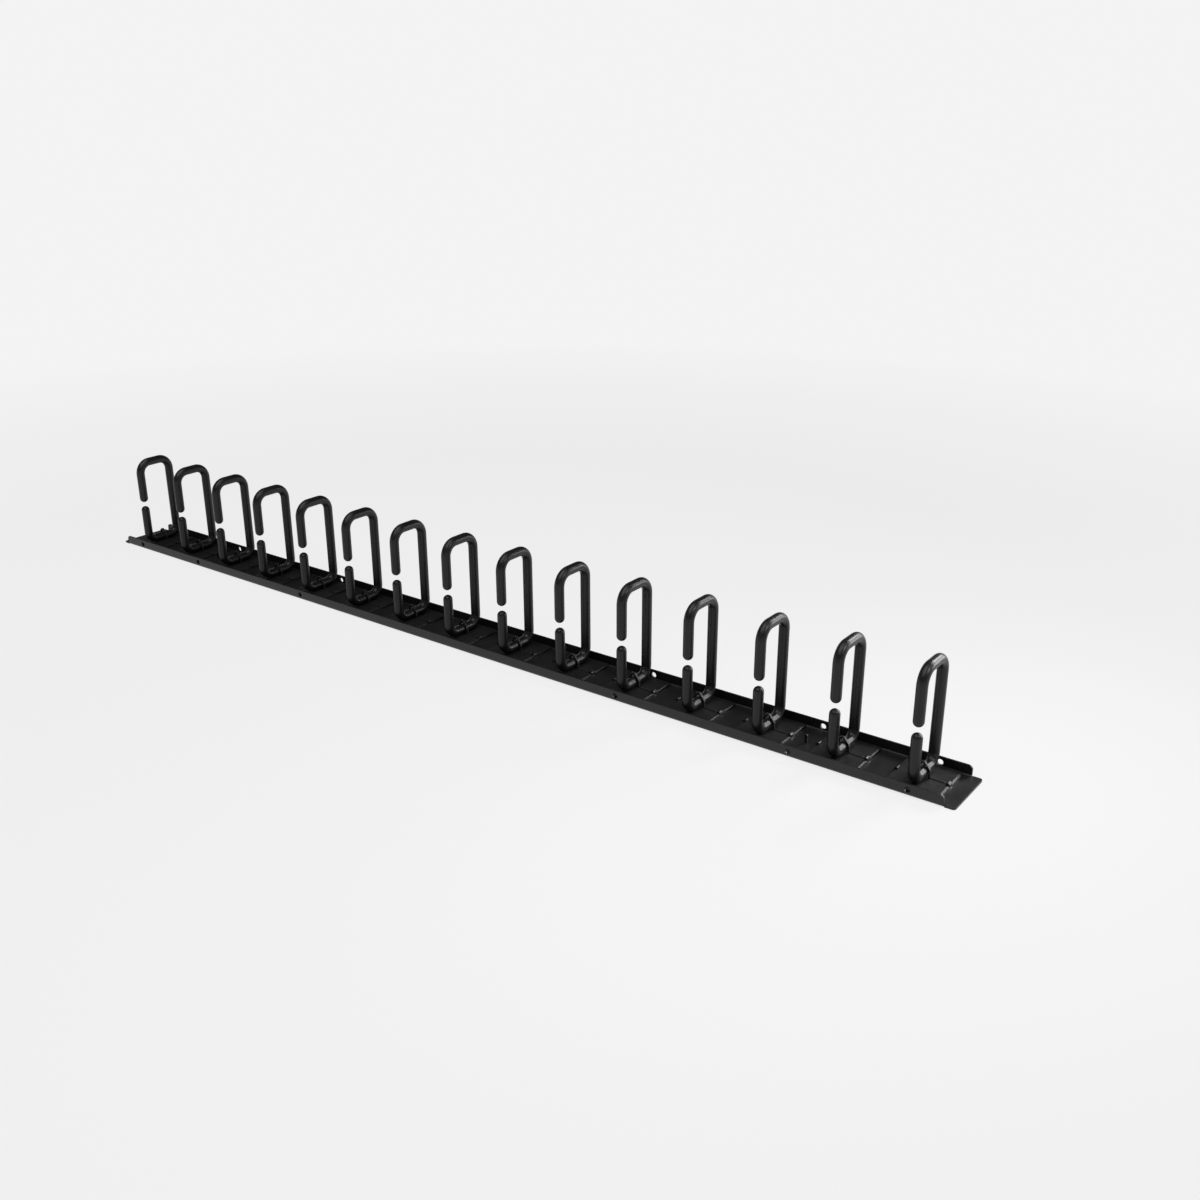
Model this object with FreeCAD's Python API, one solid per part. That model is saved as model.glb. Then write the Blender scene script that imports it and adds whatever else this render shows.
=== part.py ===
import FreeCAD, Part
import math
import os

# Vertical cable manager: a shallow folded channel that carries a row of D-rings on clip plates.
# X runs along the channel, -Y is the side where the rings open, and Z points up from the floor.
# The origin is the middle of the channel's underside. All sizes are in millimetres.

# Row of rings
RING_COUNT = 15
RING_PITCH = 60.5
END_MARGIN = 33.7

# Channel, folded from one sheet
CHANNEL_WIDTH = 50.8
WALL_HEIGHT = 9.0
SHEET = 1.5
BEND_INSIDE = 1.0
TAB_LENGTH = 8.0
TAB_INSET = 0.8
TAB_CORNER_RADIUS = 2.5
WALL_CORNER_RADIUS = 3.0

# Round holes in both walls, at these numbers of pitches either side of the middle, the back ones shifted
WALL_HOLE_STATIONS = (3.0, 5.5, 7.0)
BACK_HOLE_SHIFT = 2.5
WALL_HOLE_DIAMETER = 4.5
WALL_HOLE_CLEARANCE = 0.1

# Hooks lanced up out of the floor and folded over the plates, in notches in the plates' ends
HOOK_WIDTH = 4.0
HOOK_BEND_INSIDE = 0.5
HOOK_REACH = 1.4
HOOK_CLEARANCE = 0.1
HOOK_TIP_RADIUS = 0.9
LANCE_RELIEF = 0.3

# Upright stops on the floor, just beyond these numbers of pitches either side of the middle
STOP_STATIONS = (5.5,)
STOP_OFFSET = 1.25
STOP_WIDTH = 2.2
STOP_HEIGHT = 6.5
STOP_CORNER_RADIUS = 0.8

# Base plate under each ring
PLATE_LENGTH = 41.0
PLATE_THICKNESS = 2.3
PLATE_SIDE_CLEARANCE = 0.1
PLATE_CORNER_RADIUS = 2.0
PLATE_EDGE_RADIUS = 1.6

# Clip on the plate, a hoop with a hood over the ring's bottom rod, and the round rib at its foot
CLIP_WIDTH = 2.2
CLIP_WALL = 1.2
CLIP_CLEARANCE = 0.2
CLIP_HOOD_RADIUS = 1.2
CLIP_HOOD_OFFSET = 0.4
CLIP_HOOD_RISE = 5.2
RIB_LENGTH = 11.0
RIB_RADIUS = 0.8

# Ring, bent from round rod
ROD_DIAMETER = 8.0
RING_HEIGHT = 89.0
RING_SIDE_GAP = 3.0
RING_TOP_RADIUS = 11.0
RING_FOOT_RADIUS = 8.0
RING_GAP = 4.5
RING_GAP_HEIGHT = 42.3
ROD_SEAT_CLEARANCE = 0.1

# Sizes that follow from those above
WALL_HOLE_HEIGHT = SHEET + BEND_INSIDE + WALL_HOLE_CLEARANCE + WALL_HOLE_DIAMETER / 2
PANEL_LENGTH = (RING_COUNT - 1) * RING_PITCH + 2 * END_MARGIN
WALL_LENGTH = PANEL_LENGTH - 2 * TAB_LENGTH
INNER_WIDTH = CHANNEL_WIDTH - 2 * SHEET
FLAT_FLOOR_WIDTH = INNER_WIDTH - 2 * BEND_INSIDE
HOOK_BEND_OUTSIDE = HOOK_BEND_INSIDE + SHEET
PLATE_WIDTH = FLAT_FLOOR_WIDTH - 2 * PLATE_SIDE_CLEARANCE
PLATE_TOP = SHEET + PLATE_THICKNESS
ROD_RADIUS = ROD_DIAMETER / 2
RING_BOTTOM = PLATE_TOP + ROD_SEAT_CLEARANCE
ROD_LEVEL = RING_BOTTOM + ROD_RADIUS
LEG_OFFSET = INNER_WIDTH / 2 - RING_SIDE_GAP - ROD_RADIUS

# Turns that stand a flat sketch up: its X and Y become Y and Z, or X and Z
FACING_X = FreeCAD.Rotation(FreeCAD.Vector(1, 1, 1), 120)
FACING_FRONT = FreeCAD.Rotation(FreeCAD.Vector(1, 0, 0), 90)
HALF_TURN = 180

# Two directions whose cross product is shorter than this count as parallel
PARALLEL_TOLERANCE = 1e-6


def flat(x, y):
    """Point of a flat sketch."""
    return FreeCAD.Vector(x, y, 0)


def line(start, end):
    """Straight edge."""
    return Part.LineSegment(start, end).toShape()


def rounded_line(corners, radii):
    """Wire through the corners, with an arc of its own radius at each inner corner."""
    edges = []
    start = corners[0]
    for before, corner, after, radius in zip(corners, corners[1:], corners[2:], radii):
        incoming = (corner - before).normalize()
        outgoing = (after - corner).normalize()
        half_angle = incoming.getAngle(outgoing) / 2
        trim = radius * math.tan(half_angle)
        inward = (outgoing - incoming).normalize()
        arc_middle = corner + inward * (radius / math.cos(half_angle) - radius)
        arc_start = corner - incoming * trim
        arc_end = corner + outgoing * trim
        edges.append(line(start, arc_start))
        edges.append(Part.Arc(arc_start, arc_middle, arc_end).toShape())
        start = arc_end
    edges.append(line(start, corners[-1]))
    return Part.Wire(edges)


def stand_up(face, turn, depth):
    """Extrude a flat sketch evenly to both sides of its plane and stand it up."""
    solid = face.extrude(FreeCAD.Vector(0, 0, depth))
    solid.translate(FreeCAD.Vector(0, 0, -depth / 2))
    solid.Placement = FreeCAD.Placement(FreeCAD.Vector(), turn).multiply(solid.Placement)
    return solid


def block(length, width, bottom, top):
    """Upright block on the Z axis."""
    corner = FreeCAD.Vector(-length / 2, -width / 2, bottom)
    return Part.makeBox(length, width, top - bottom, corner)


def edges_along(solid, direction, is_wanted):
    """Straight edges of a solid along a direction whose middle is wanted."""
    found = []
    for edge in solid.Edges:
        if not isinstance(edge.Curve, Part.Line):
            continue
        slant = edge.tangentAt(edge.FirstParameter).cross(direction).Length
        if slant < PARALLEL_TOLERANCE and is_wanted(edge.CenterOfMass):
            found.append(edge)
    return found


def at_both_ends(distance):
    """The two places at a distance either side of the middle."""
    return (-distance, distance)


def ring_places():
    """X of each ring's plane, from one end to the other."""
    first = -(RING_COUNT - 1) * RING_PITCH / 2
    return [first + index * RING_PITCH for index in range(RING_COUNT)]


def pair_of(shape, distance):
    """Two copies of a shape at a distance either side of X = 0, the second one turned about."""
    right = shape.copy()
    right.translate(FreeCAD.Vector(distance, 0, 0))
    left = right.copy()
    left.rotate(FreeCAD.Vector(), FreeCAD.Vector(0, 0, 1), HALF_TURN)
    return [right, left]


def make_folded_sheet():
    """Channel before lancing: the folded walls, with the floor running on as a tab at each end."""
    half_width = CHANNEL_WIDTH / 2
    outside = [
        flat(-half_width, WALL_HEIGHT),
        flat(-half_width, 0),
        flat(half_width, 0),
        flat(half_width, WALL_HEIGHT),
    ]
    bend_outside = BEND_INSIDE + SHEET
    outline = rounded_line(outside, [bend_outside, bend_outside])
    section = outline.makeOffset2D(-SHEET, 0, True, True)
    folded = stand_up(section, FACING_X, WALL_LENGTH)
    below_tops = WALL_HEIGHT - SHEET
    wall_ends = edges_along(folded, FreeCAD.Vector(0, 1, 0), lambda middle: middle.z > below_tops)
    folded = folded.makeFillet(WALL_CORNER_RADIUS, wall_ends)
    tab = block(TAB_LENGTH, CHANNEL_WIDTH - 2 * TAB_INSET, 0, SHEET)
    tab_corners = edges_along(tab, FreeCAD.Vector(0, 0, 1), lambda middle: middle.x > 0)
    tab = tab.makeFillet(TAB_CORNER_RADIUS, tab_corners)
    return folded.fuse(pair_of(tab, (WALL_LENGTH + TAB_LENGTH) / 2)).removeSplitter()


def make_wall_holes():
    """Pins that cut the round holes, each through one wall."""
    pins = []
    across = FreeCAD.Vector(0, 1, 0)
    for station in WALL_HOLE_STATIONS:
        for x in at_both_ends(station * RING_PITCH):
            front = FreeCAD.Vector(x, -CHANNEL_WIDTH / 2, WALL_HOLE_HEIGHT)
            back = FreeCAD.Vector(x + BACK_HOLE_SHIFT, 0, WALL_HOLE_HEIGHT)
            for start in (front, back):
                pins.append(Part.makeCylinder(WALL_HOLE_DIAMETER / 2, CHANNEL_WIDTH / 2, start, across))
    return pins


def make_hook():
    """Hook that bends up out of the floor at X = 0 and over to its -X side, and its window there."""
    underside = PLATE_TOP + HOOK_CLEARANCE
    reach = HOOK_CLEARANCE + HOOK_REACH
    root = HOOK_BEND_OUTSIDE + LANCE_RELIEF
    corners = [flat(root, 0), flat(0, 0), flat(0, underside), flat(-reach, underside)]
    outline = rounded_line(corners, [HOOK_BEND_OUTSIDE, HOOK_BEND_INSIDE])
    section = outline.makeOffset2D(SHEET, 0, True, True)
    hook = stand_up(section, FACING_FRONT, HOOK_WIDTH)
    mid_hook = underside + SHEET / 2
    tip = edges_along(hook, FreeCAD.Vector(0, 1, 0), lambda at: at.x < -HOOK_REACH and at.z > mid_hook)
    hook = hook.makeFillet(HOOK_TIP_RADIUS, tip)
    free_length = underside + reach
    window = block(free_length + HOOK_BEND_OUTSIDE, HOOK_WIDTH + 2 * LANCE_RELIEF, 0, SHEET)
    window.translate(FreeCAD.Vector((HOOK_BEND_OUTSIDE - free_length) / 2, 0, 0))
    return hook, window


def make_stop():
    """Upright blade that faces the front, with rounded top corners."""
    blade = block(STOP_WIDTH, SHEET, 0, SHEET + STOP_HEIGHT)
    top_corners = edges_along(blade, FreeCAD.Vector(0, 1, 0), lambda middle: middle.z > SHEET)
    return blade.makeFillet(STOP_CORNER_RADIUS, top_corners)


def make_channel():
    """Folded channel with its wall holes, plate hooks and stops."""
    hook, window = make_hook()
    hook_distance = PLATE_LENGTH / 2 - SHEET
    stop = make_stop()
    raised = []
    for station in STOP_STATIONS:
        raised += pair_of(stop, station * RING_PITCH + STOP_OFFSET)
    openings = make_wall_holes()
    for x in ring_places():
        hooks = pair_of(hook, hook_distance)
        windows = pair_of(window, hook_distance)
        for shape in hooks + windows:
            shape.translate(FreeCAD.Vector(x, 0, 0))
        raised += hooks
        openings += windows
    return make_folded_sheet().cut(openings).fuse(raised).removeSplitter()


def clip_outline(growth, foot):
    """Outline round the rod and the hood above it, down to a foot level, grown by a wall."""
    rod_centre = flat(0, ROD_LEVEL)
    rod_reach = ROD_RADIUS + CLIP_CLEARANCE + growth
    hood_centre = flat(-CLIP_HOOD_OFFSET, ROD_LEVEL + CLIP_HOOD_RISE)
    hood_reach = CLIP_HOOD_RADIUS + growth
    down = rod_centre - hood_centre
    slope = math.atan2(down.y, down.x)
    spread = math.acos((hood_reach - rod_reach) / down.Length)
    right_roof = slope + spread
    left_roof = slope - spread + 2 * math.pi

    def around(centre, reach, angle):
        return centre + flat(math.cos(angle), math.sin(angle)) * reach

    def arc(centre, reach, start, end):
        angles = (start, (start + end) / 2, end)
        return Part.Arc(*[around(centre, reach, angle) for angle in angles]).toShape()

    def roof(angle):
        return line(around(hood_centre, hood_reach, angle), around(rod_centre, rod_reach, angle))

    left = around(rod_centre, rod_reach, math.pi)
    right = around(rod_centre, rod_reach, 0)
    left_foot = flat(left.x, foot)
    right_foot = flat(right.x, foot)
    edges = [line(left_foot, left), arc(rod_centre, rod_reach, math.pi, left_roof), roof(left_roof)]
    edges += [arc(hood_centre, hood_reach, left_roof, right_roof), roof(right_roof)]
    edges += [arc(rod_centre, rod_reach, right_roof, 0), line(right, right_foot)]
    edges.append(line(right_foot, left_foot))
    return Part.Face(Part.Wire(edges))


def make_plate():
    """Base plate with rounded corners and edges, a notch in each end, and the clip and rib moulded on it."""
    plate = block(PLATE_LENGTH, PLATE_WIDTH, SHEET, PLATE_TOP)
    corners = edges_along(plate, FreeCAD.Vector(0, 0, 1), lambda middle: True)
    plate = plate.makeFillet(PLATE_CORNER_RADIUS, corners)
    rim = [edge for edge in plate.Edges if edge.BoundBox.ZMin > PLATE_TOP - PLATE_EDGE_RADIUS]
    plate = plate.makeFillet(PLATE_EDGE_RADIUS, rim)
    notch = block(2 * (SHEET + HOOK_BEND_INSIDE), HOOK_WIDTH + 2 * HOOK_CLEARANCE, SHEET, PLATE_TOP)
    plate = plate.cut(pair_of(notch, PLATE_LENGTH / 2))
    mid_plate = SHEET + PLATE_THICKNESS / 2
    hoop = clip_outline(CLIP_WALL, mid_plate).cut(clip_outline(0, PLATE_TOP))
    clip = stand_up(hoop, FACING_FRONT, CLIP_WIDTH)
    rib_start = FreeCAD.Vector(ROD_RADIUS + CLIP_CLEARANCE + CLIP_WALL / 2, 0, PLATE_TOP)
    along = FreeCAD.Vector(1, 0, 0)
    rib = Part.makeCylinder(RIB_RADIUS, RIB_LENGTH, rib_start, along)
    rib_end = Part.makeSphere(RIB_RADIUS, rib_start + along * RIB_LENGTH)
    return plate.fuse([clip, rib, rib_end]).removeSplitter()


def make_ring():
    """D-ring: round rod bent to a loop, with domed tips either side of the gap in its front leg."""
    top_level = RING_BOTTOM + RING_HEIGHT - ROD_RADIUS
    gap_level = RING_BOTTOM + RING_GAP_HEIGHT
    tip_setback = RING_GAP / 2 + ROD_RADIUS
    lower_tip = flat(-LEG_OFFSET, gap_level - tip_setback)
    upper_tip = flat(-LEG_OFFSET, gap_level + tip_setback)
    corners = [
        lower_tip,
        flat(-LEG_OFFSET, ROD_LEVEL),
        flat(LEG_OFFSET, ROD_LEVEL),
        flat(LEG_OFFSET, top_level),
        flat(-LEG_OFFSET, top_level),
        upper_tip,
    ]
    radii = [RING_FOOT_RADIUS, RING_FOOT_RADIUS, RING_TOP_RADIUS, RING_TOP_RADIUS]
    path = rounded_line(corners, radii)
    rod_end = Part.Face(Part.Wire(Part.makeCircle(ROD_RADIUS, lower_tip, FreeCAD.Vector(0, -1, 0))))
    domes = [Part.makeSphere(ROD_RADIUS, tip) for tip in (lower_tip, upper_tip)]
    ring = path.makePipe(rod_end).fuse(domes).removeSplitter()
    ring.Placement = FreeCAD.Placement(FreeCAD.Vector(), FACING_X).multiply(ring.Placement)
    return ring


def export(shape, name):
    """Write one piece to its own file."""
    shape.exportStep(f"parts/{name}.step")


def export_row(shape, name):
    """Write a copy of a piece at each ring's place."""
    for number, x in enumerate(ring_places(), start=1):
        copy = shape.copy()
        copy.translate(FreeCAD.Vector(x, 0, 0))
        export(copy, f"{name}_{number:02d}")


def main():
    """Build every piece and write it."""
    os.makedirs("parts", exist_ok=True)
    export(make_channel(), "channel")
    export_row(make_plate(), "plate")
    export_row(make_ring(), "ring")


main()
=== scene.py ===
"""Vertical cable manager: finished pieces, stage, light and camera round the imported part."""

import logging
import math
from collections.abc import Callable, Mapping, Sequence
from dataclasses import dataclass, field
from enum import Enum

import bmesh
import bpy
from mathutils import Matrix, Vector


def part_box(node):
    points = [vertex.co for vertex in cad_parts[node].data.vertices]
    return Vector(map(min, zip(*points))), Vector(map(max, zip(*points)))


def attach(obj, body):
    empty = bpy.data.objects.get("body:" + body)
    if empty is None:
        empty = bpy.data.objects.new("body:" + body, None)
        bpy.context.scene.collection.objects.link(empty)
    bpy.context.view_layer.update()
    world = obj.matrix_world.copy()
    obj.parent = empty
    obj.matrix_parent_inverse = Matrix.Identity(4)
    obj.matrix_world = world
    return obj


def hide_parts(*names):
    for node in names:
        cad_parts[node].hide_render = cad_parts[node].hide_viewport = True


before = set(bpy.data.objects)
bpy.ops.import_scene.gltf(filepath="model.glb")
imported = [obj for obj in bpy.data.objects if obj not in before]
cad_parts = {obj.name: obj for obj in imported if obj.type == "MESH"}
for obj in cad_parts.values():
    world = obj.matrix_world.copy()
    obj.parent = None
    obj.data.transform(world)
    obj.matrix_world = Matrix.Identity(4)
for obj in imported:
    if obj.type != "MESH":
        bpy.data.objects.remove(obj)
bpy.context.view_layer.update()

MM = 0.001
ROOT = "root"
WELD = 1e-6
SMOOTH_ANGLE = math.radians(40)
HALF_PI = math.pi / 2
ROUND_PROFILE = 0.5

Point = tuple[float, float]
Place = tuple[float, float, float]
Colour = tuple[float, float, float, float]

DEEP_BLACK: Colour = (0.005, 0.005, 0.0053, 1.0)

log = logging.getLogger("cable_manager")


class Slot(Enum):
    """Finish slots of the record."""

    CHANNEL = "channel_coat"
    RING = "ring_coat"
    CLIP = "clip_plastic"


class Join(Enum):
    """Ways in which a solid changes the plate."""

    ADD = "UNION"
    CUT = "DIFFERENCE"


class Signal:
    """Output socket of a node that takes part in sums."""

    def __init__(self, graph: "NodeGraph", socket: bpy.types.NodeSocket) -> None:
        """Keep the graph and the socket."""
        self.graph = graph
        self.socket = socket

    def combine(self, operation: str, *operands: "Feed") -> "Signal":
        """Join operands in one maths node.

        Args:
            operation: Name of the operation.
            operands: Signals or numbers, in the order of the node's inputs.

        Returns:
            The result, a vector where this signal is one.
        """
        is_vector = self.socket.type == "VECTOR"
        kind = "ShaderNodeVectorMath" if is_vector else "ShaderNodeMath"
        node = self.graph.add(kind, {"operation": operation}, dict(enumerate(operands)))
        return self.graph.out(node)

    def __add__(self, other: "Feed") -> "Signal":
        """Sum."""
        return self.combine("ADD", self, other)

    def __radd__(self, other: "Feed") -> "Signal":
        """Sum, from the right."""
        return self.combine("ADD", other, self)

    def __sub__(self, other: "Feed") -> "Signal":
        """Difference."""
        return self.combine("SUBTRACT", self, other)

    def __rsub__(self, other: "Feed") -> "Signal":
        """Difference, from the right."""
        return self.combine("SUBTRACT", other, self)

    def __mul__(self, other: "Feed") -> "Signal":
        """Product."""
        return self.combine("MULTIPLY", self, other)

    def __rmul__(self, other: "Feed") -> "Signal":
        """Product, from the right."""
        return self.combine("MULTIPLY", other, self)

    def __truediv__(self, other: "Feed") -> "Signal":
        """Quotient."""
        return self.combine("DIVIDE", self, other)

    def __rtruediv__(self, other: "Feed") -> "Signal":
        """Quotient, from the right."""
        return self.combine("DIVIDE", other, self)

    def sine(self) -> "Signal":
        """Sine of an angle."""
        return self.combine("SINE", self)

    def cosine(self) -> "Signal":
        """Cosine of an angle."""
        return self.combine("COSINE", self)

    def above(self, limit: "Feed") -> "Signal":
        """1 where the signal is greater than a limit, otherwise 0."""
        return self.combine("GREATER_THAN", self, limit)

    def clamped(self) -> "Signal":
        """The signal held between 0 and 1."""
        return self.combine("MAXIMUM", self.combine("MINIMUM", self, 1.0), 0.0)

    def length(self) -> "Signal":
        """Length of a vector."""
        node = self.graph.add("ShaderNodeVectorMath", {"operation": "LENGTH"}, {0: self})
        return self.graph.out(node, "Value")


Feed = Signal | float | int | bool | tuple | bpy.types.ID


class NodeGraph:
    """Node tree that is written node by node."""

    def __init__(self, tree: bpy.types.NodeTree) -> None:
        """Start on an empty tree."""
        self.tree = tree
        tree.nodes.clear()

    def add(
        self,
        kind: str,
        settings: Mapping[str, object] | None = None,
        sockets: Mapping[str | int, Feed] | None = None,
    ) -> bpy.types.Node:
        """Add one node.

        Args:
            kind: Type name of the node.
            settings: Properties, set before the sockets are read.
            sockets: Values or links of the inputs, by name or place.

        Returns:
            The node.
        """
        node = self.tree.nodes.new(kind)
        for name, value in (settings or {}).items():
            setattr(node, name, value)
        for key, feed in (sockets or {}).items():
            self.plug(self.pick(node.inputs, key), feed)
        return node

    @staticmethod
    def pick(sockets: Sequence[bpy.types.NodeSocket], key: str | int) -> bpy.types.NodeSocket:
        """Find a socket in use by its name, or by its place among them.

        Args:
            sockets: Inputs or outputs of a node.
            key: Name or place.

        Returns:
            The socket.
        """
        shown = [socket for socket in sockets if socket.enabled]
        if isinstance(key, int):
            return shown[key]
        return next(socket for socket in shown if socket.name == key)

    def plug(self, socket: bpy.types.NodeSocket, feed: Feed) -> None:
        """Link a signal to an input, or set the input's value.

        Args:
            socket: Input.
            feed: Signal, or a value that the input takes.
        """
        if isinstance(feed, Signal):
            self.tree.links.new(feed.socket, socket)
        elif socket.type == "VECTOR" and isinstance(feed, (int, float)):
            socket.default_value = (feed, feed, feed)
        else:
            socket.default_value = feed

    def out(self, node: bpy.types.Node, key: str | int = 0) -> Signal:
        """Output of a node as a signal."""
        return Signal(self, self.pick(node.outputs, key))

    def blend(self, factor: Feed, first: Feed, second: Feed) -> Signal:
        """Mix two colours by a factor."""
        sockets = {"Factor": factor, "A": first, "B": second}
        return self.out(self.add("ShaderNodeMix", {"data_type": "RGBA"}, sockets))

    def noise(self, place: Feed, scale: float, detail: float) -> Signal:
        """Noise at a place.

        Args:
            place: Coordinates.
            scale: Cells in a metre.
            detail: Number of finer layers.

        Returns:
            A number near one half.
        """
        sockets = {"Vector": place, "Scale": scale, "Detail": detail}
        return self.out(self.add("ShaderNodeTexNoise", None, sockets), "Fac")


class GeometryGraph(NodeGraph):
    """Geometry Nodes tree with named inputs that makes one plain mesh."""

    def __init__(self, name: str) -> None:
        """Start a tree that takes and gives geometry.

        Args:
            name: Name of the tree.
        """
        super().__init__(bpy.data.node_groups.new(name, "GeometryNodeTree"))
        self.values: dict[str, object] = {}
        for in_out in ("INPUT", "OUTPUT"):
            self.tree.interface.new_socket(
                "Geometry", in_out=in_out, socket_type="NodeSocketGeometry")
        self.entry = self.add("NodeGroupInput")

    def given(self, name: str, kind: str, value: object) -> Signal:
        """Declare a named input.

        Args:
            name: Name of the input.
            kind: Socket type, such as Float or Int.
            value: What the modifier is given for it.

        Returns:
            The input as a signal.
        """
        socket = self.tree.interface.new_socket(
            name, in_out="INPUT", socket_type=f"NodeSocket{kind}")
        self.values[socket.identifier] = value
        return self.out(self.entry, name)

    def row(
        self,
        piece: Signal,
        count: int,
        first: float,
        pitch: float,
        finish: bpy.types.Material,
    ) -> None:
        """End the tree with a row of copies along X.

        Args:
            piece: Geometry that is copied.
            count: Number of copies.
            first: X of the first copy.
            pitch: Step from copy to copy.
            finish: Material of all copies.
        """
        start = self.add("ShaderNodeCombineXYZ", None, {"X": self.given("First", "Float", first)})
        step = self.add("ShaderNodeCombineXYZ", None, {"X": self.given("Pitch", "Float", pitch)})
        places = self.add("GeometryNodeMeshLine", None, {
            "Count": self.given("Count", "Int", count),
            "Start Location": self.out(start),
            "Offset": self.out(step),
        })
        copies = self.add("GeometryNodeInstanceOnPoints", None, {
            "Points": self.out(places),
            "Instance": piece,
        })
        real = self.add("GeometryNodeRealizeInstances", None, {"Geometry": self.out(copies)})
        coated = self.add("GeometryNodeSetMaterial", None, {
            "Geometry": self.out(real),
            "Material": self.given("Finish", "Material", finish),
        })
        self.add("NodeGroupOutput", None, {"Geometry": self.out(coated)})

    def mesh_of(self, base: bpy.types.Mesh) -> bpy.types.Mesh:
        """Run the tree on a mesh.

        Args:
            base: Mesh that enters the tree.

        Returns:
            The result as a plain mesh.
        """
        carrier = placed(self.tree.name, base)
        modifier = carrier.modifiers.new(self.tree.name, "NODES")
        modifier.node_group = self.tree
        for identifier, value in self.values.items():
            modifier[identifier] = value
        return evaluated(carrier)


def placed(name: str, data: bpy.types.ID) -> bpy.types.Object:
    """Put a mesh, a lamp or a camera in the scene.

    Args:
        name: Name of the object.
        data: What it shows.

    Returns:
        The object, at the origin.
    """
    item = bpy.data.objects.new(name, data)
    bpy.context.scene.collection.objects.link(item)
    return item


def evaluated(carrier: bpy.types.Object) -> bpy.types.Mesh:
    """Make the shown mesh of an object plain, and remove the object.

    Args:
        carrier: Object with its modifiers.

    Returns:
        A mesh of its own.
    """
    graph = bpy.context.evaluated_depsgraph_get()
    mesh = bpy.data.meshes.new_from_object(carrier.evaluated_get(graph), depsgraph=graph)
    bpy.data.objects.remove(carrier)
    return mesh


def edited(
    mesh: bpy.types.Mesh,
    work: Callable[[bmesh.types.BMesh], object] | None = None,
) -> bpy.types.Mesh:
    """Change a mesh in place, then weld it and turn its faces outwards.

    Args:
        mesh: Mesh to change.
        work: What is done to it first, if anything.

    Returns:
        The same mesh.
    """
    bm = bmesh.new()
    bm.from_mesh(mesh)
    if work is not None:
        work(bm)
    bmesh.ops.remove_doubles(bm, verts=bm.verts[:], dist=WELD)
    bmesh.ops.recalc_face_normals(bm, faces=bm.faces[:])
    bm.to_mesh(mesh)
    bm.free()
    return mesh


def round_off(
    bm: bmesh.types.BMesh,
    edges: Sequence[bmesh.types.BMEdge],
    radius: float,
    segments: int,
) -> None:
    """Round edges of a mesh.

    Args:
        bm: Mesh that is changed.
        edges: Edges to round.
        radius: Radius of the rounding.
        segments: Number of faces round each edge.
    """
    bmesh.ops.bevel(
        bm, geom=edges, offset=radius, offset_type="OFFSET", affect="EDGES",
        segments=segments, profile=ROUND_PROFILE, clamp_overlap=True)


def finished(
    name: str,
    mesh: bpy.types.Mesh,
    finish: bpy.types.Material,
) -> bpy.types.Object:
    """Put a mesh in the scene as a finished piece, with smooth bends and plain flat faces.

    Args:
        name: Name of the piece.
        mesh: Its mesh, already in place.
        finish: Material.

    Returns:
        The piece.
    """
    mesh.materials.clear()
    mesh.materials.append(finish)
    mesh.shade_smooth()
    mesh.set_sharp_from_angle(angle=SMOOTH_ANGLE)
    carrier = placed(name, mesh)
    flat = carrier.modifiers.new("flat_faces", "WEIGHTED_NORMAL")
    flat.keep_sharp = True
    shaded = evaluated(carrier)
    shaded.name = name
    piece = placed(name, shaded)
    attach(piece, ROOT)
    log.info("%s: %d faces", name, len(mesh.polygons))
    return piece


def arc(centre: Point, radius: float, start: float, end: float, steps: int) -> list[Point]:
    """Points of an arc, both ends included.

    Args:
        centre: Centre of the arc.
        radius: Radius of the arc.
        start: Angle of the first point.
        end: Angle of the last point.
        steps: Number of chords.

    Returns:
        The points in order.
    """
    angles = [start + (end - start) * step / steps for step in range(steps + 1)]
    return [(centre[0] + radius * math.cos(a), centre[1] + radius * math.sin(a)) for a in angles]


def new_material(name: str) -> tuple[bpy.types.Material, NodeGraph]:
    """Start a material.

    Args:
        name: Name of the material.

    Returns:
        The material, and its empty node graph.
    """
    material = bpy.data.materials.new(name)
    material.use_nodes = True
    return material, NodeGraph(material.node_tree)


@dataclass(frozen=True)
class Finish:
    """Black coat whose colour, gloss and grain change a little from place to place."""

    name: str
    dark: Colour
    light: Colour
    smooth: float
    rough: float
    mottle_scale: float
    grain_scale: float
    grain_depth: float
    gloss: float = 0.5
    mottle_detail: float = 3.0
    grain_detail: float = 2.0
    mottle_weight: float = 1.6
    grain_weight: float = 0.4
    balance: float = 0.5

    def material(self) -> bpy.types.Material:
        """Build the material.

        Returns:
            The material with its node tree.
        """
        material, graph = new_material(self.name)
        place = graph.out(graph.add("ShaderNodeTexCoord"), "Object")
        mottle = graph.noise(place, self.mottle_scale, self.mottle_detail)
        grain = graph.noise(place, self.grain_scale, self.grain_detail)
        shade = (mottle * self.mottle_weight + grain * self.grain_weight - self.balance).clamped()
        bump = graph.add("ShaderNodeBump", None, {
            "Strength": 1.0,
            "Distance": self.grain_depth,
            "Height": grain,
        })
        shader = graph.add("ShaderNodeBsdfPrincipled", None, {
            "Base Color": graph.blend(shade, self.dark, self.light),
            "Roughness": self.smooth + shade * (self.rough - self.smooth),
            "Specular IOR Level": self.gloss,
            "Normal": graph.out(bump),
        })
        graph.add("ShaderNodeOutputMaterial", None, {"Surface": graph.out(shader)})
        return material


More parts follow.
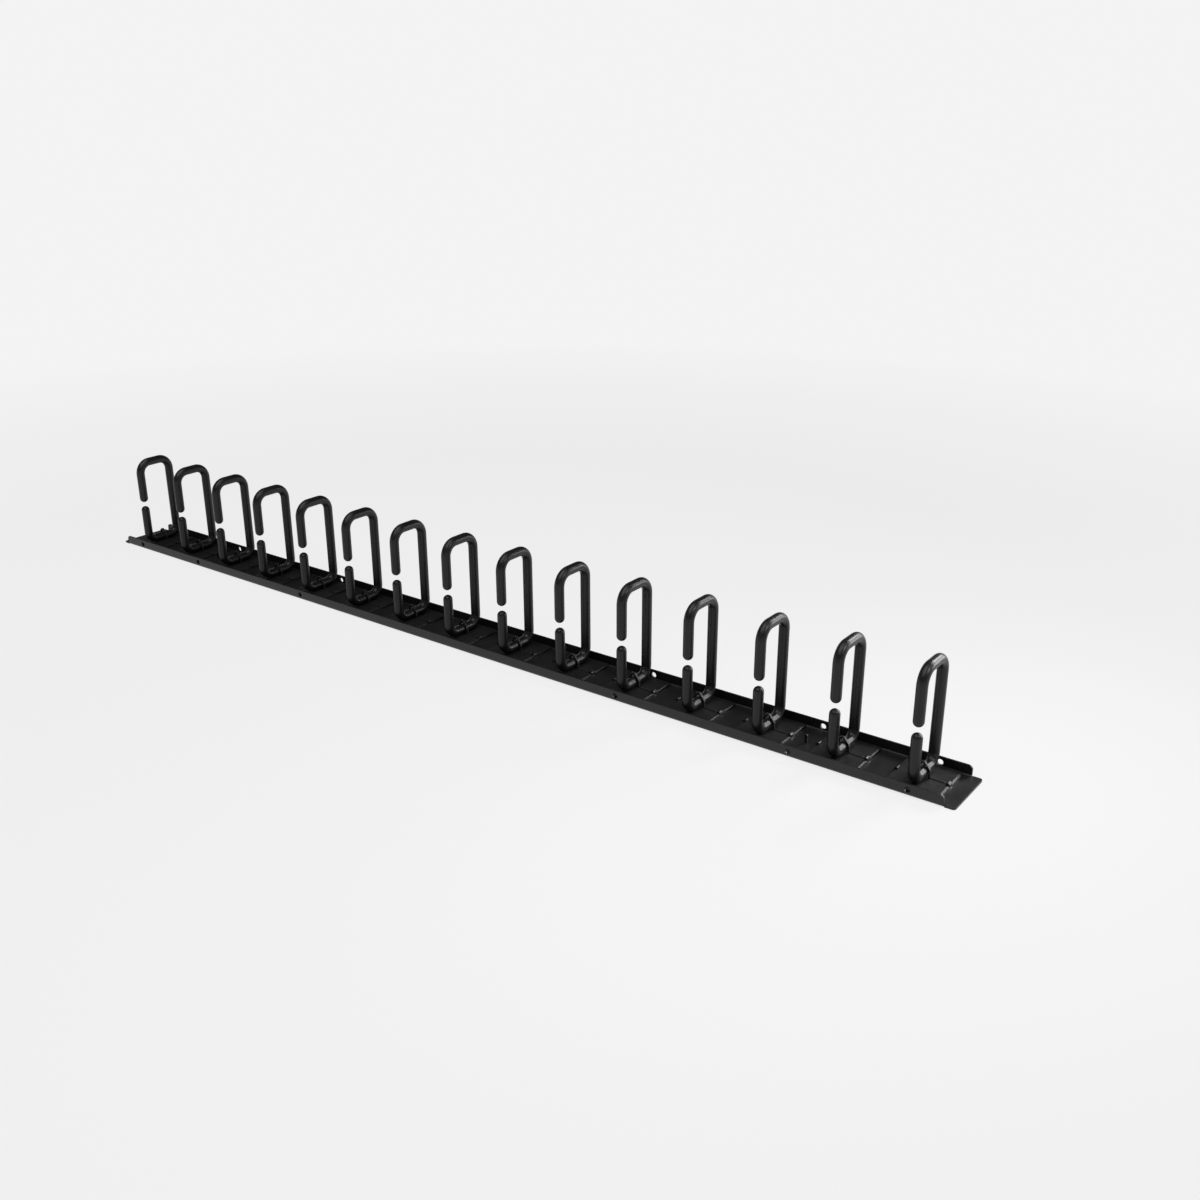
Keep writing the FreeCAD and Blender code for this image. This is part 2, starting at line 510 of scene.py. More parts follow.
@dataclass
class SheetMesh:
    """Surface of folded sheet that is pieced together from flat faces."""

    points: list[Vector] = field(default_factory=list)
    faces: list[list[int]] = field(default_factory=list)
    numbers: dict[tuple[int, ...], int] = field(default_factory=dict)

    def number(self, point: Sequence[float]) -> int:
        """Number a point, with one number for all faces that meet there.

        Args:
            point: Its coordinates.

        Returns:
            Its number.
        """
        key = tuple(round(value / WELD) for value in point)
        if key not in self.numbers:
            self.numbers[key] = len(self.points)
            self.points.append(Vector(point))
        return self.numbers[key]

    def face(self, corners: Sequence[Sequence[float]]) -> None:
        """Add a face through the corners, anticlockwise seen from the bare side."""
        self.faces.append([self.number(corner) for corner in corners])

    def strip(self, first: Sequence[Sequence[float]], second: Sequence[Sequence[float]]) -> None:
        """Add the faces between two lines of points."""
        for a, b, c, d in zip(first, second, second[1:], first[1:]):
            self.face([a, b, c, d])

    def mesh(self, name: str) -> bpy.types.Mesh:
        """Turn the surface into a mesh.

        Args:
            name: Name of the mesh.

        Returns:
            The mesh.
        """
        mesh = bpy.data.meshes.new(name)
        mesh.from_pydata(self.points, [], self.faces)
        return mesh


@dataclass
class FoldedChannel:
    """Channel folded from one sheet, with lanced hooks and two upright stops."""

    ring_places: Sequence[float]
    sheet: float = 1.5 * MM
    bend: float = 1.0 * MM
    tab_length: float = 8.0 * MM
    tab_inset: float = 0.8 * MM
    tab_corner: float = 2.5 * MM
    tab_slit: float = 0.3 * MM
    wall_corner: float = 3.0 * MM
    hole_places: Sequence[float] = (181.5 * MM, 332.75 * MM, 423.5 * MM)
    back_shift: float = 2.5 * MM
    hole_radius: float = 2.25 * MM
    hole_level: float = 4.85 * MM
    hole_margin: float = 1.0 * MM
    hook_width: float = 4.0 * MM
    hook_bend: float = 0.5 * MM
    hook_distance: float = 19.0 * MM
    hook_top: float = 5.4 * MM
    hook_reach: float = 1.5 * MM
    hook_window: float = 5.4 * MM
    relief: float = 0.3 * MM
    tip_round: float = 0.9 * MM
    tip_segments: int = 5
    stop_place: float = 334.0 * MM
    stop_width: float = 2.2 * MM
    stop_top: float = 8.0 * MM
    stop_corner: float = 0.8 * MM
    stop_sink: float = 0.3 * MM
    bend_steps: int = 5
    round_steps: int = 6
    hole_steps: int = 12
    edge_round: float = 0.2 * MM
    edge_segments: int = 2
    edge_angle: float = math.radians(60)

    def __post_init__(self) -> None:
        """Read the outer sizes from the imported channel."""
        low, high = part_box("channel")
        self.underside = low.z
        self.end = high.x
        self.half_width = high.y
        self.top = high.z
        self.wall_end = self.end - self.tab_length
        self.inner = self.half_width - self.sheet
        self.flat = self.inner - self.bend
        self.wall_foot = self.sheet + self.bend
        self.shoulder = self.top - self.wall_corner
        self.root = self.hook_bend + self.sheet
        self.half_hook = self.hook_width / 2
        self.gap = self.half_hook + self.relief
        front = [side * place for place in self.hole_places for side in (-1, 1)]
        self.holes = {-1: front, 1: [place + self.back_shift for place in front]}
        self.hooks = [
            (place + side * self.hook_distance, side)
            for place in self.ring_places
            for side in (-1, 1)
        ]
        self.tips = [place - side * self.hook_reach for place, side in self.hooks]
        self.tab_side = self.half_width - self.tab_inset

    def windows(self) -> list[Point]:
        """Ends along X of each window that a hook leaves in the floor."""
        spans = [(x - side * self.hook_window, x + side * self.root) for x, side in self.hooks]
        return [(min(span), max(span)) for span in spans]

    def stations(self) -> list[float]:
        """Divide the walls' length.

        Returns:
            All places along X where faces of the floor and the walls meet, in order.
        """
        reach = self.hole_radius + self.hole_margin
        corner = self.wall_end - self.wall_corner
        marks = {-self.wall_end, -corner, corner, self.wall_end}
        for window in self.windows():
            marks.update(window)
        for hole in self.holes[-1] + self.holes[1]:
            marks.update((hole - reach, hole, hole + reach))
        return sorted({round(mark / WELD) * WELD for mark in marks})

    def add_floor(self, sheet: SheetMesh, stations: Sequence[float]) -> None:
        """Add the floor between the bends, open at the windows.

        Args:
            sheet: Surface that takes the faces.
            stations: Places along X where faces meet.
        """
        lanes = [-self.flat, -self.gap, -self.half_hook, self.half_hook, self.gap, self.flat]
        windows = self.windows()
        for x0, x1 in zip(stations, stations[1:]):
            middle = (x0 + x1) / 2
            is_open = any(start < middle < end for start, end in windows)
            for y0, y1 in zip(lanes, lanes[1:]):
                if not (is_open and abs(y0 + y1) / 2 < self.gap):
                    corners = ((x0, y0), (x1, y0), (x1, y1), (x0, y1))
                    sheet.face([(x, y, self.sheet) for x, y in corners])

    def add_tab(self, sheet: SheetMesh, side: int) -> None:
        """Add the flat tab beyond one end of the walls.

        Args:
            sheet: Surface that takes the face.
            side: 1 for the end at +X, -1 for the other.
        """
        corner = (self.end - self.tab_corner, self.tab_side - self.tab_corner)
        rounding = arc(corner, self.tab_corner, HALF_PI, 0, self.round_steps)
        slit = self.wall_end + self.tab_slit
        half = [
            (self.wall_end, self.flat),
            (slit, self.flat + self.tab_slit),
            (slit, self.tab_side),
            *rounding,
        ]
        inner = [(self.wall_end, y) for y in (-self.gap, -self.half_hook, self.half_hook, self.gap)]
        outline = half + [(x, -y) for x, y in reversed(half)] + inner
        # Seen from above, this outline is clockwise at +X, and mirrored it is not
        sheet.face([(side * x, y, self.sheet) for x, y in outline][::-side])

    def add_wall(self, sheet: SheetMesh, stations: Sequence[float], side: int) -> None:
        """Add the bend and the wall on one side, with the holes and the rounded ends.

        Args:
            sheet: Surface that takes the faces.
            stations: Places along X where faces meet.
            side: 1 for the back wall, -1 for the front wall.
        """
        bend = arc((self.flat, self.wall_foot), self.bend, -HALF_PI, 0, self.bend_steps)
        levels = [self.wall_foot, self.shoulder, self.top]
        reach = self.hole_radius + self.hole_margin

        def put(corners: Sequence[Point]) -> None:
            """Add a face of the wall from corners in X and Z, anticlockwise seen from the front."""
            sheet.face([(x, side * self.inner, z) for x, z in corners][::side])

        for x0, x1 in zip(stations, stations[1:]):
            middle = (x0 + x1) / 2
            first = [(x0, side * y, z) for y, z in bend]
            second = [(x1, side * y, z) for y, z in bend]
            sheet.strip(*((first, second) if side > 0 else (second, first)))
            # Faces round the holes and at the rounded ends come after this loop
            if any(abs(middle - hole) < reach for hole in self.holes[side]):
                continue
            put([(x0, levels[0]), (x1, levels[0]), (x1, levels[1]), (x0, levels[1])])
            if abs(middle) > self.wall_end - self.wall_corner:
                continue
            put([(x0, levels[1]), (x1, levels[1]), (x1, levels[2]), (x0, levels[2])])
        centre = (self.wall_end - self.wall_corner, self.shoulder)
        rounding = [centre, *arc(centre, self.wall_corner, 0, HALF_PI, self.round_steps)]
        put(rounding)
        put([(-x, z) for x, z in reversed(rounding)])
        rim = arc((0, self.hole_level), self.hole_radius, HALF_PI, -HALF_PI, self.hole_steps)
        border = [(reach, level) for level in levels] + [(0, levels[2])]
        for hole in self.holes[side]:
            # Two faces meet over the hole, each round one half of it
            for turn in (1, -1):
                offsets = sorted(turn * (x - hole) for x in stations)
                foot = [(x, levels[0]) for x in offsets if -WELD < x < reach - WELD]
                put([(hole + turn * x, z) for x, z in rim + foot + border][::turn])

    def add_hook(self, sheet: SheetMesh, place: float, side: int) -> None:
        """Add one hook, from its root in the floor over the plate's end.

        Args:
            sheet: Surface that takes the faces.
            place: X of the hook's face beside the plate.
            side: 1 for a hook at the plate's end towards +X, -1 for the other.
        """
        foot_centre = (self.root, self.sheet + self.hook_bend)
        foot = arc(foot_centre, self.hook_bend, -HALF_PI, -math.pi, self.bend_steps)
        over_centre = (self.sheet - self.root, self.hook_top - self.root)
        over = arc(over_centre, self.root, 0, HALF_PI, self.bend_steps)
        line = foot + over + [(-self.hook_reach, self.hook_top)]
        low = [(place + side * x, -self.half_hook * side, z) for x, z in line]
        high = [(place + side * x, self.half_hook * side, z) for x, z in line]
        sheet.strip(low, high)

    def surface(self) -> bpy.types.Mesh:
        """Bare face of the whole sheet.

        Returns:
            A mesh without thickness.
        """
        sheet = SheetMesh()
        stations = self.stations()
        self.add_floor(sheet, stations)
        for side in (-1, 1):
            self.add_tab(sheet, side)
            self.add_wall(sheet, stations, side)
        for place, side in self.hooks:
            self.add_hook(sheet, place, side)
        return sheet.mesh("channel_sheet")

    def add_stop(self, bm: bmesh.types.BMesh, place: float) -> None:
        """Add one upright stop, its foot sunk in the floor.

        Args:
            bm: Mesh of the channel.
            place: X of the stop's middle.
        """
        half = self.stop_width / 2
        centre = (half - self.stop_corner, self.stop_top - self.stop_corner)
        right = [(half, self.sheet - self.stop_sink)]
        right += arc(centre, self.stop_corner, 0, HALF_PI, self.round_steps)
        outline = right + [(-x, z) for x, z in reversed(right)]
        front = [bm.verts.new((place + x, -self.sheet / 2, z)) for x, z in outline]
        back = [bm.verts.new((place + x, self.sheet / 2, z)) for x, z in outline]
        bm.faces.new(front)
        bm.faces.new(back[::-1])
        for a, b, c, d in zip(front, back, back[1:] + back[:1], front[1:] + front[:1]):
            bm.faces.new((a, b, c, d))

    def is_tip(self, edge: bmesh.types.BMEdge) -> bool:
        """Tell the upper edge of a hook's tip.

        Args:
            edge: Edge of the channel.

        Returns:
            Whether it is one.
        """
        ends = [vert.co for vert in edge.verts]
        is_top = all(abs(end.z - self.hook_top) < WELD for end in ends)
        return is_top and any(all(abs(end.x - tip) < WELD for end in ends) for tip in self.tips)

    def is_rim(self, edge: bmesh.types.BMEdge) -> bool:
        """Tell a cut edge of the sheet, other than round a hole.

        Args:
            edge: Edge of the channel.

        Returns:
            Whether it is one.
        """
        if not edge.is_manifold or edge.calc_face_angle() < self.edge_angle:
            return False
        middle = (edge.verts[0].co + edge.verts[1].co) / 2
        reach = self.hole_radius + self.hole_margin / 2
        is_outside = abs(middle.y) > self.inner - self.sheet
        is_on_wall = is_outside and middle.z > self.wall_foot - self.bend
        holes = self.holes[1 if middle.y > 0 else -1]
        return not (is_on_wall and any(
            math.hypot(middle.x - hole, middle.z - self.hole_level) < reach for hole in holes))

    def break_edges(self, bm: bmesh.types.BMesh) -> None:
        """Add the stops, round the hooks' tips and the cut edges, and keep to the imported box.

        Args:
            bm: Mesh of the thickened sheet.
        """
        for side in (-1, 1):
            self.add_stop(bm, side * self.stop_place)
        tips = [edge for edge in bm.edges if self.is_tip(edge)]
        round_off(bm, tips, self.tip_round, self.tip_segments)
        bm.normal_update()
        rims = [edge for edge in bm.edges if self.is_rim(edge)]
        round_off(bm, rims, self.edge_round, self.edge_segments)
        for vert in bm.verts:
            vert.co.y = max(-self.half_width, min(vert.co.y, self.half_width))
            vert.co.z = max(self.underside, min(vert.co.z, self.top))

    def build(self, finish: bpy.types.Material) -> bpy.types.Object:
        """Thicken the sheet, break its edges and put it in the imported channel's place.

        Args:
            finish: Material of the coat.

        Returns:
            The finished channel.
        """
        carrier = placed("channel_sheet", self.surface())
        solidify = carrier.modifiers.new("thickness", "SOLIDIFY")
        solidify.thickness = self.sheet
        solidify.offset = -1.0
        solidify.use_even_offset = True
        solidify.use_quality_normals = True
        mesh = edited(evaluated(carrier), self.break_edges)
        piece = finished("folded_channel", mesh, finish)
        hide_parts("channel")
        return piece


@dataclass
class RingRow:
    """Row of D-rings, each bent from round rod with domed tips."""

    names: Sequence[str]
    places: Sequence[float]
    pitch: float
    top_radius: float = 11.0 * MM
    foot_radius: float = 8.0 * MM
    gap: float = 4.5 * MM
    gap_height: float = 42.3 * MM
    last_foot_corner: int = 2
    sides: int = 28
    bend_steps: int = 16
    dome_steps: int = 7
    body_steps: int = 150

    def build(self, finish: bpy.types.Material) -> bpy.types.Object:
        """Sweep the rod along its path and line up the rings.

        Args:
            finish: Material of the coat.

        Returns:
            The finished row.
        """
        graph = GeometryGraph("ring_row")
        graph.row(self.ring(graph), len(self.names), self.places[0], self.pitch, finish)
        mesh = graph.mesh_of(bpy.data.meshes.new("ring_seed"))
        piece = finished("ring_row", edited(mesh), finish)
        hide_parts(*self.names)
        return piece

    def guide(self, graph: GeometryGraph, rod: Signal) -> Signal:
        """Middle line of the rod through its four bends.

        Args:
            graph: Tree that is written.
            rod: Radius of the rod.

        Returns:
            The line as a curve.
        """
        low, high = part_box(self.names[0])
        leg = graph.given("Half Depth", "Float", high.y) - rod
        foot = graph.given("Bottom", "Float", low.z) + rod
        top = graph.given("Top", "Float", high.z) - rod
        middle = graph.given("Gap Level", "Float", low.z + self.gap_height)
        half_gap = graph.given("Gap", "Float", self.gap) / 2
        sides = (0 - leg, 0 - leg, leg, leg, 0 - leg, 0 - leg)
        levels = (middle - half_gap, foot, foot, top, top, middle + half_gap)
        index = graph.out(graph.add("GeometryNodeInputIndex"))
        switch = graph.add("GeometryNodeIndexSwitch", {"data_type": "VECTOR"}, {"Index": index})
        while len(switch.index_switch_items) < len(levels):
            switch.index_switch_items.new()
        for number, (y, z) in enumerate(zip(sides, levels)):
            corner = graph.add("ShaderNodeCombineXYZ", None, {"Y": y, "Z": z})
            graph.plug(graph.pick(switch.inputs, str(number)), graph.out(corner))
        line = graph.out(graph.add("GeometryNodeCurvePrimitiveLine"))
        corners = graph.add("GeometryNodeResampleCurve", None, {
            "Curve": line,
            "Count": len(levels),
        })
        bent = graph.add("GeometryNodeSetPosition", None, {
            "Geometry": graph.out(corners),
            "Position": graph.out(switch),
        })
        foot_bend = graph.given("Foot Bend", "Float", self.foot_radius)
        top_bend = graph.given("Top Bend", "Float", self.top_radius)
        is_top = index.above(self.last_foot_corner)
        return graph.out(graph.add("GeometryNodeFilletCurve", {"mode": "POLY"}, {
            "Curve": graph.out(bent),
            "Count": self.bend_steps,
            "Radius": foot_bend + (top_bend - foot_bend) * is_top,
        }))

    def ring(self, graph: GeometryGraph) -> Signal:
        """One ring: rod swept along its middle line, closing to a dome at both tips.

        Args:
            graph: Tree that is written.

        Returns:
            The ring as a mesh.
        """
        low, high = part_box(self.names[0])
        rod = graph.given("Rod Radius", "Float", (high.x - low.x) / 2)
        guide = self.guide(graph, rod)
        length = graph.out(graph.add("GeometryNodeCurveLength", None, {"Curve": guide}))
        index = graph.out(graph.add("GeometryNodeInputIndex"))
        # Points crowd towards the tips as the cosine of a turn does, so that they close to domes
        opening = (index / self.dome_steps).clamped() * HALF_PI
        along = ((index - self.dome_steps) / self.body_steps).clamped()
        body_end = self.dome_steps + self.body_steps
        closing = ((index - body_end) / self.dome_steps).clamped() * HALF_PI
        first_dome = rod * (1 - opening.cosine())
        last_dome = rod * closing.sine()
        sample = graph.add("GeometryNodeSampleCurve", {"mode": "LENGTH"}, {
            "Curves": guide,
            "Length": first_dome + along * (length - rod * 2) + last_dome,
        })
        line = graph.out(graph.add("GeometryNodeCurvePrimitiveLine"))
        count = body_end + self.dome_steps + 1
        points = graph.add("GeometryNodeResampleCurve", None, {"Curve": line, "Count": count})
        path = graph.add("GeometryNodeSetPosition", None, {
            "Geometry": graph.out(points),
            "Position": graph.out(sample, "Position"),
        })
        framed = graph.add("GeometryNodeSetCurveNormal", {"mode": "FREE"}, {
            "Curve": graph.out(path),
            "Normal": (1.0, 0.0, 0.0),
        })
        circle = graph.add("GeometryNodeCurvePrimitiveCircle", None, {
            "Resolution": self.sides,
            "Radius": rod,
        })
        swept = graph.add("GeometryNodeCurveToMesh", None, {
            "Curve": graph.out(framed),
            "Profile Curve": graph.out(circle),
            "Scale": opening.sine() * closing.cosine(),
        })
        return graph.out(swept)


@dataclass
class ClipPlateRow:
    """Row of moulded base plates, each with the hooded clip that holds a ring down and a rib."""

    names: Sequence[str]
    places: Sequence[float]
    pitch: float
    ring_name: str
    thickness: float = 2.3 * MM
    corner: float = 2.0 * MM
    edge: float = 1.6 * MM
    notch_depth: float = 2.0 * MM
    notch_width: float = 4.2 * MM
    notch_height: float = 9.2 * MM
    clip_width: float = 2.2 * MM
    wall: float = 1.2 * MM
    clearance: float = 0.2 * MM
    hood_radius: float = 1.2 * MM
    hood_offset: float = 0.4 * MM
    hood_rise: float = 5.2 * MM
    clip_round: float = 0.3 * MM
    clip_segments: int = 2
    rib_length: float = 11.0 * MM
    rib_radius: float = 0.8 * MM
    corner_steps: int = 6
    edge_steps: int = 5
    arc_steps: int = 12
    rib_sides: int = 20

    def __post_init__(self) -> None:
        """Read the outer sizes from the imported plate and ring."""
        low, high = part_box(self.names[0])
        self.half_length = (high.x - low.x) / 2
        self.half_width = high.y
        self.bottom = low.z
        self.top = low.z + self.thickness
        low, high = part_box(self.ring_name)
        self.rod = (high.x - low.x) / 2
        self.rod_level = low.z + self.rod

    def outline(self, inset: float) -> list[Point]:
        """Draw the plate's rounded outline.

        Args:
            inset: Distance inwards from the plate's sides.

        Returns:
            Points all the way round.
        """
        radius = self.corner - inset
        x = self.half_length - self.corner
        y = self.half_width - self.corner
        points = []
        for quarter, (sx, sy) in enumerate(((1, 1), (-1, 1), (-1, -1), (1, -1))):
            start = quarter * HALF_PI
            points += arc((sx * x, sy * y), radius, start, start + HALF_PI, self.corner_steps)
        return points

    def plate(self) -> bpy.types.Mesh:
        """Make the flat plate with its rounded corners and upper edge.

        Returns:
            The plate as a mesh.
        """
        turns = [HALF_PI * step / self.edge_steps for step in range(self.edge_steps + 1)]
        layers = [(0.0, self.bottom)]
        for turn in turns:
            inset = self.edge * (1 - math.cos(turn))
            layers.append((inset, self.top - self.edge * (1 - math.sin(turn))))
        sheet = SheetMesh()
        loops = [[(x, y, z) for x, y in self.outline(inset)] for inset, z in layers]
        for lower, upper in zip(loops, loops[1:]):
            sheet.strip(upper + upper[:1], lower + lower[:1])
        sheet.face(loops[-1])
        sheet.face(loops[0][::-1])
        return sheet.mesh("plate")

    def notch(self, side: int) -> bpy.types.Object:
        """Make the block that cuts the notch for a hook in one end of the plate.

        Args:
            side: 1 for the end at +X, -1 for the other.

        Returns:
            The block as an object.
        """
        size = Matrix.Diagonal((2 * self.notch_depth, self.notch_width, self.notch_height, 1.0))
        place = Matrix.Translation((side * self.half_length, 0.0, self.bottom)) @ size
        mesh = edited(
            bpy.data.meshes.new("notch"),
            lambda bm: bmesh.ops.create_cube(bm, size=1.0, matrix=place))
        return placed(f"notch_{side}", mesh)

    def clip_side(self, growth: float, foot: float) -> list[Point]:
        """Side view of the clip's outer or inner face.

        Args:
            growth: Distance outwards from the inner face.
            foot: Level where it ends.

        Returns:
            Points from the hood's foot over the top to the other foot.
        """
        reach = self.rod + self.clearance + growth
        hood_reach = self.hood_radius + growth
        slope = math.atan2(-self.hood_rise, self.hood_offset)
        spread = math.acos((hood_reach - reach) / math.hypot(self.hood_offset, self.hood_rise))
        left_roof = slope - spread + 2 * math.pi
        right_roof = slope + spread
        rod = (0.0, self.rod_level)
        hood = (-self.hood_offset, self.rod_level + self.hood_rise)
        up = arc(rod, reach, math.pi, left_roof, self.edge_steps)
        over = arc(hood, hood_reach, left_roof, right_roof, self.arc_steps)
        down = arc(rod, reach, right_roof, 0, self.edge_steps)
        return [(-reach, foot), *up, *over, *down, (reach, foot)]

    def round_clip(self, bm: bmesh.types.BMesh) -> None:
        """Round the clip's edges on both of its flat sides."""
        rims = [edge for edge in bm.edges if edge.verts[0].co.y * edge.verts[1].co.y > 0]
        round_off(bm, rims, self.clip_round, self.clip_segments)

    def clip(self) -> bpy.types.Object:
        """Make the clip, its feet sunk in the plate.

        Returns:
            The clip as an object.
        """
        foot = (self.bottom + self.top) / 2
        hoop = self.clip_side(self.wall, foot) + self.clip_side(0, foot)[::-1]
        front = [(x, -self.clip_width / 2, z) for x, z in hoop]
        back = [(x, self.clip_width / 2, z) for x, z in hoop]
        sheet = SheetMesh()
        sheet.strip(front + front[:1], back + back[:1])
        sheet.face(front)
        sheet.face(back[::-1])
        return placed("clip", edited(sheet.mesh("clip"), self.round_clip))

    def rib(self) -> bpy.types.Object:
        """Make the round rib from the clip's foot to its domed end, half sunk in the plate.

        Returns:
            The rib as an object.
        """
        start = self.rod + self.clearance + self.wall / 2
        end = start + self.rib_length
        side = [(start, self.rib_radius)]
        side += arc((end, 0.0), self.rib_radius, HALF_PI, 0, self.corner_steps)[:-1]
        turns = [(2 * step + 1) * math.pi / self.rib_sides for step in range(self.rib_sides)]
        loops = [
            [(x, reach * math.cos(turn), self.top + reach * math.sin(turn)) for turn in turns]
            for x, reach in side
        ]
        sheet = SheetMesh()
        for first, second in zip(loops, loops[1:]):
            sheet.strip(first + first[:1], second + second[:1])
        sheet.face(loops[0])
        sheet.face(loops[-1][::-1])
        return placed("rib", edited(sheet.mesh("rib")))

    def build(self, finish: bpy.types.Material) -> bpy.types.Object:
        """Notch the plate, join the clip and the rib to it, and line up the plates.

        Args:
            finish: Material of the moulding.

        Returns:
            The finished row.
        """
        plate = placed("plate", edited(self.plate()))
        solids = [
            (self.notch(-1), Join.CUT),
            (self.notch(1), Join.CUT),
            (self.clip(), Join.ADD),
            (self.rib(), Join.ADD),
        ]
        for solid, join in solids:
            step = plate.modifiers.new(solid.name, "BOOLEAN")
            step.operation = join.value
            step.solver = "EXACT"
            step.object = solid
        moulding = evaluated(plate)
        for solid, _ in solids:
            bpy.data.objects.remove(solid)
        graph = GeometryGraph("plate_row")
        graph.row(graph.out(graph.entry), len(self.names), self.places[0], self.pitch, finish)
        mesh = graph.mesh_of(moulding)
        piece = finished("plate_row", edited(mesh), finish)
        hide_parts(*self.names)
        return piece


@dataclass(frozen=True)
class Softbox:
    """Soft lamp with its place, the point that it faces, its size, power and spread."""

    name: str
    place: Place
    aim: Place
    size: Point
    power: float
    spread: float = math.pi

    def build(self) -> None:
        """Add the lamp, out of the camera's sight."""
        lamp = bpy.data.lights.new(self.name, "AREA")
        lamp.shape = "RECTANGLE"
        lamp.size, lamp.size_y = self.size
        lamp.energy = self.power
        lamp.spread = self.spread
        softbox = placed(self.name, lamp)
        place = Vector(self.place)
        facing = (Vector(self.aim) - place).to_track_quat("-Z", "Y").to_matrix().to_4x4()
        softbox.matrix_world = Matrix.Translation(place) @ facing
        softbox.visible_camera = False


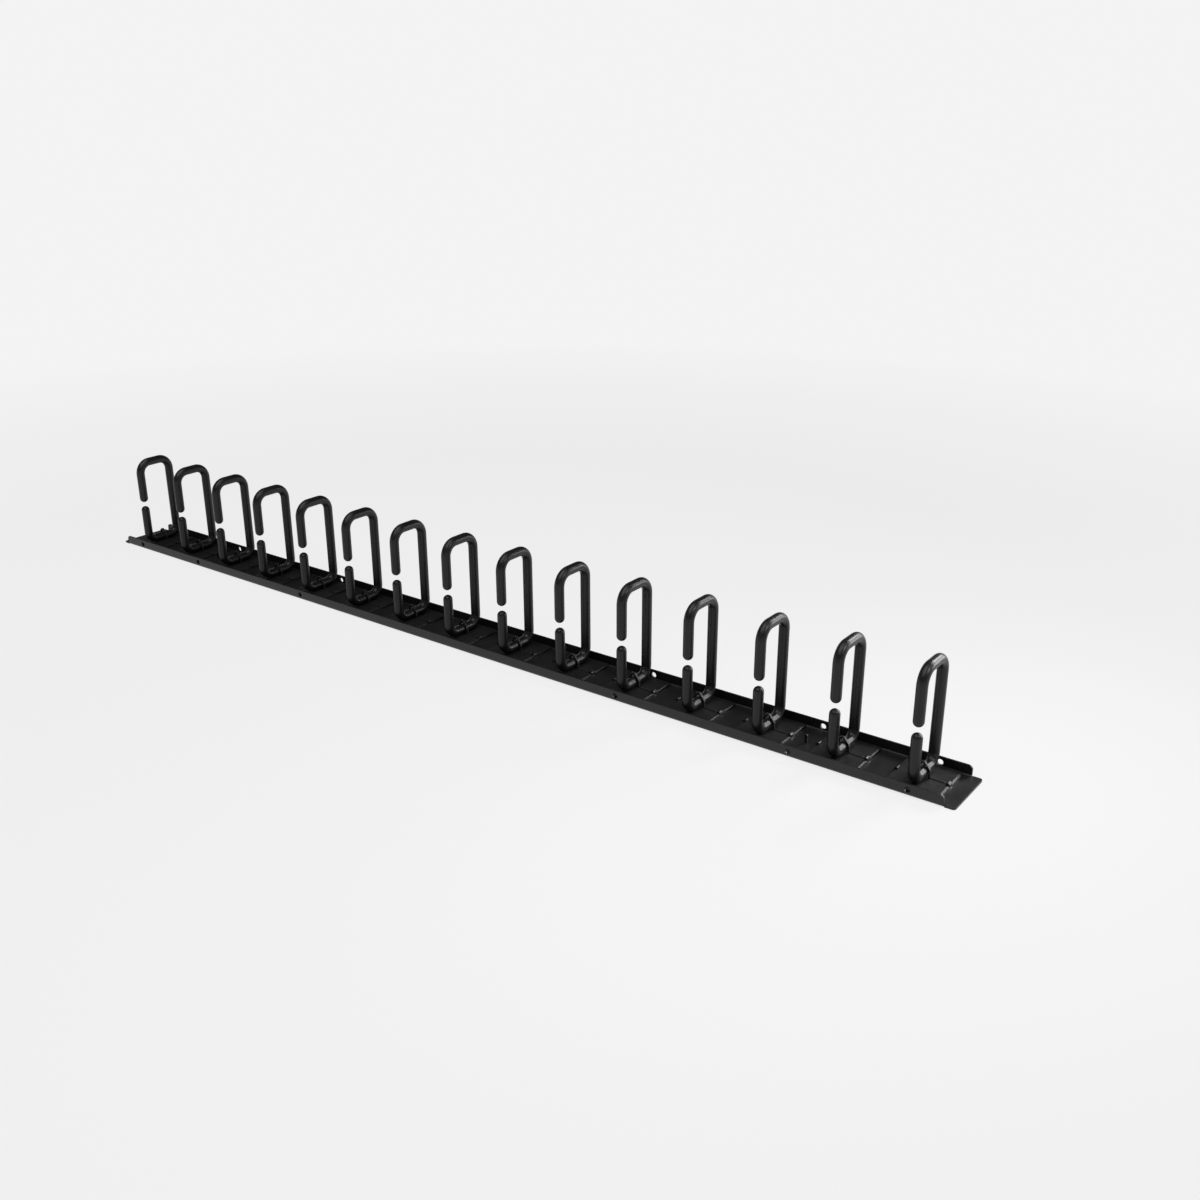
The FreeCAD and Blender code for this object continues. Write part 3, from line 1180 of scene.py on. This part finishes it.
@dataclass
class Studio:
    """Pale floor and background, soft lamps and the camera."""

    lamps: Sequence[Softbox] = (
        Softbox(
            "key", place=(0.58, 0.58, 0.44), aim=(0.43, 0.0, 0.09),
            size=(0.32, 0.28), power=0.27, spread=math.radians(40)),
        Softbox(
            "side", place=(1.15, 0.05, 0.80), aim=(0.40, 0.0, 0.08),
            size=(0.25, 0.25), power=0.5, spread=math.radians(60)),
        Softbox(
            "low", place=(1.00, 0.95, 0.22), aim=(0.46, 0.0, 0.02),
            size=(0.60, 0.40), power=0.62, spread=math.radians(48)),
        Softbox("top", place=(0.05, -0.6, 2.0), aim=(0.05, 0.0, 0.0), size=(2.0, 2.0), power=32.0),
    )
    pale: float = 0.896
    ambient: float = 0.05
    floor_radius: float = 30.0
    floor_sides: int = 48
    floor_drop: float = 0.05 * MM
    backdrop_height: float = 4.0
    shadow_hold: float = 0.86
    shadow_reach: Point = (0.6, 1.4)
    azimuth: float = math.radians(36.774)
    elevation: float = math.radians(21.642)
    roll: float = math.radians(-0.188)
    distance: float = 1008.027 * MM
    target: Place = (148.653 * MM, -0.433 * MM, 68.979 * MM)
    lens: float = 38.548
    sensor: float = 36.0

    @staticmethod
    def seen(graph: NodeGraph) -> Signal:
        """Tell what the camera sees, also by way of a mirror or glass.

        Args:
            graph: Tree that is written.

        Returns:
            Signal that is 1 where it does.
        """
        paths = graph.add("ShaderNodeLightPath")
        kinds = ("Is Camera Ray", "Is Glossy Ray", "Is Transmission Ray")
        camera, glossy, through = (graph.out(paths, kind) for kind in kinds)
        return (camera + glossy + through).clamped()

    def add_floor(self) -> None:
        """Add the floor and the backdrop round it."""
        rim = arc((0.0, 0.0), self.floor_radius, 0, 2 * math.pi, self.floor_sides)[:-1]
        sheet = SheetMesh()
        low = [(x, y, -self.floor_drop) for x, y in rim]
        high = [(x, y, self.backdrop_height) for x, y in rim]
        sheet.face(low)
        sheet.strip(high + high[:1], low + low[:1])
        mesh = sheet.mesh("floor")
        mesh.materials.append(self.floor_material())
        placed("floor", mesh)

    def floor_material(self) -> bpy.types.Material:
        """Build the floor's material, a pale colour with a light shadow that fades outwards.

        Returns:
            The material with its node tree.
        """
        material, graph = new_material("floor_pale")
        colour = (self.pale, self.pale, self.pale, 1.0)
        near, far = self.shadow_reach
        spread = graph.out(graph.add("ShaderNodeTexCoord"), "Object").length()
        fade = ((spread - near) / (far - near)).clamped()
        hold = self.shadow_hold + (1 - self.shadow_hold) * fade
        lit = graph.add("ShaderNodeBsdfDiffuse", None, {"Color": colour})
        plain = graph.add("ShaderNodeEmission", None, {"Color": colour, "Strength": 1.0})
        mixed = graph.add("ShaderNodeMixShader", None, {
            0: self.seen(graph) * hold,
            1: graph.out(lit),
            2: graph.out(plain),
        })
        graph.add("ShaderNodeOutputMaterial", None, {"Surface": graph.out(mixed)})
        return material

    def add_world(self) -> None:
        """Set the even, dim light from all round."""
        world = bpy.data.worlds.new("studio")
        world.use_nodes = True
        graph = NodeGraph(world.node_tree)
        background = graph.add("ShaderNodeBackground", None, {
            "Color": (1.0, 1.0, 1.0, 1.0),
            "Strength": self.ambient,
        })
        graph.add("ShaderNodeOutputWorld", None, {"Surface": graph.out(background)})
        bpy.context.scene.world = world

    def add_camera(self) -> None:
        """Stand the camera where the view from it matches the photograph."""
        camera = bpy.data.cameras.new("camera")
        camera.sensor_width = self.sensor
        camera.lens = self.lens
        back = Vector((
            math.sin(self.azimuth) * math.cos(self.elevation),
            -math.cos(self.azimuth) * math.cos(self.elevation),
            math.sin(self.elevation),
        ))
        level = Vector((math.cos(self.azimuth), math.sin(self.azimuth), 0.0))
        upright = back.cross(level)
        right = math.cos(self.roll) * level + math.sin(self.roll) * upright
        up = math.cos(self.roll) * upright - math.sin(self.roll) * level
        turn = Matrix((right, up, back)).transposed().to_4x4()
        stand = placed("camera", camera)
        stand.matrix_world = Matrix.Translation(Vector(self.target) + back * self.distance) @ turn
        bpy.context.scene.camera = stand

    def build(self) -> None:
        """Set up the whole studio."""
        bpy.context.scene.view_settings.view_transform = "Standard"
        self.add_floor()
        self.add_world()
        for lamp in self.lamps:
            lamp.build()
        self.add_camera()


def nodes_named(prefix: str) -> list[str]:
    """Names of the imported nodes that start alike, in order."""
    return sorted(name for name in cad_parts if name.startswith(prefix))


def main() -> None:
    """Build the finished pieces and the studio in order."""
    logging.basicConfig(level=logging.INFO, format="%(name)s %(message)s")
    rings = nodes_named("ring_")
    plates = nodes_named("plate_")
    places = [sum(corner.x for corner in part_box(name)) / 2 for name in rings]
    pitch = (places[-1] - places[0]) / (len(places) - 1)
    powder = Finish(
        "black_powder_coat",
        dark=DEEP_BLACK, light=(0.011, 0.011, 0.0114, 1.0),
        smooth=0.36, rough=0.46, gloss=0.42,
        mottle_scale=60.0, grain_scale=1500.0, grain_depth=0.02 * MM)
    rod_coat = Finish(
        "black_rod_coat",
        dark=DEEP_BLACK, light=(0.010, 0.010, 0.0104, 1.0),
        smooth=0.32, rough=0.40, gloss=0.32,
        mottle_scale=90.0, grain_scale=900.0, grain_depth=0.01 * MM)
    moulding = Finish(
        "black_moulding",
        dark=DEEP_BLACK, light=(0.012, 0.012, 0.0124, 1.0),
        smooth=0.42, rough=0.54, gloss=0.35,
        mottle_scale=70.0, grain_scale=2600.0, grain_depth=0.012 * MM)
    FoldedChannel(places).build(powder.material())
    ClipPlateRow(plates, places, pitch, rings[0]).build(moulding.material())
    RingRow(rings, places, pitch).build(rod_coat.material())
    Studio().build()


if __name__ == "__main__":
    main()
